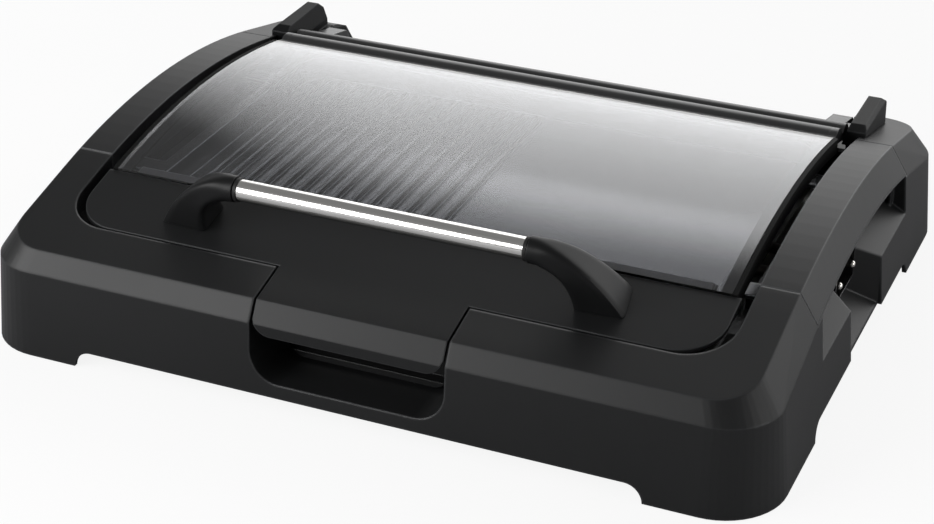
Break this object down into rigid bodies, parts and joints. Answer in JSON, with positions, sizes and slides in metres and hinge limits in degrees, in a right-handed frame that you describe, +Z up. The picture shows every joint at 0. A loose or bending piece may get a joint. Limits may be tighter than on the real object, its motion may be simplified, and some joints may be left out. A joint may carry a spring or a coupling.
{
  "type": "electric indoor grill",
  "caption": "Countertop electric grill: near-black housing, hinged lid with arched glass and steel-tube handle, ribbed and flat cooking plate, drip tray drawer.",
  "frame": {"origin": "middle of the footprint, on the surface that the grill stands on", "axes": "+X to the right seen from the front, +Y to the rear, +Z up; the handle and the drip tray face -Y"},
  "size_m": [0.5398, 0.4398, 0.13],
  "materials": {
    "housing": "fine grained near-black plastic",
    "rail": "fine grained near-black plastic",
    "cover": "plain black plastic",
    "foot_rubber": "brown-grey rubber",
    "screw": "zinc-plated steel",
    "reflector": "rolled aluminium sheet",
    "element": "heat-darkened steel sheath",
    "clip": "pressed steel",
    "ceramic": "unglazed steatite",
    "terminal": "nickel-plated steel",
    "guard": "bright steel sheet",
    "rest": "heat-proof silicone",
    "plate": "grey-black non-stick coating on cast aluminium",
    "tray": "black plastic",
    "post": "fine grained near-black plastic",
    "panel": "fine grained near-black plastic",
    "glass": "smoke-tinted tempered glass",
    "trim": "black silicone profile",
    "bar": "smooth black plastic",
    "pin": "ground steel",
    "gasket": "black silicone",
    "handle": "satin black plastic",
    "tube": "polished stainless steel tube"
  },
  "bodies": {
    "base": {"base_housing": "housing", "side_rail_left": "rail", "side_rail_right": "rail", "bottom_cover": "cover", "foot_pads": "foot_rubber", "base_screws": "screw", "rail_screws": "screw", "reflector_pan": "reflector", "pan_screws": "screw", "heating_element": "element", "element_clips": "clip", "terminal_block": "ceramic", "terminal_pins": "terminal", "terminal_guard": "guard", "plate_rests": "rest", "tray_runners": "clip", "hinge_post_left": "post", "hinge_post_right": "post", "hinge_post_screws": "screw", "hinge_pins": "pin"},
    "lid": {"lid_panel": "panel", "lid_glass": "glass", "side_trim_left": "trim", "side_trim_right": "trim", "rear_bar": "bar", "glass_gasket": "gasket", "lid_bumpers": "gasket", "handle_post_left": "handle", "handle_post_right": "handle", "handle_tube": "tube", "handle_rings": "gasket", "handle_screws": "screw"},
    "plate": {"grill_plate": "plate"},
    "tray": {"drip_tray": "tray"}
  },
  "joints": [
    {"name": "lid_hinge", "type": "hinge", "parent": "base", "child": "lid", "pos_m": [0, 0.178, 0.073], "axis": [-1, 0, 0], "range_deg": [0, 95]},
    {"name": "drip_tray_slide", "type": "slide", "parent": "base", "child": "tray", "axis": [0, -1, 0], "range_m": [0, 0.2]},
    {"name": "plate_lift", "type": "slide", "parent": "base", "child": "plate", "axis": [0, 0, 1], "range_m": [0, 0.003]}
  ]
}
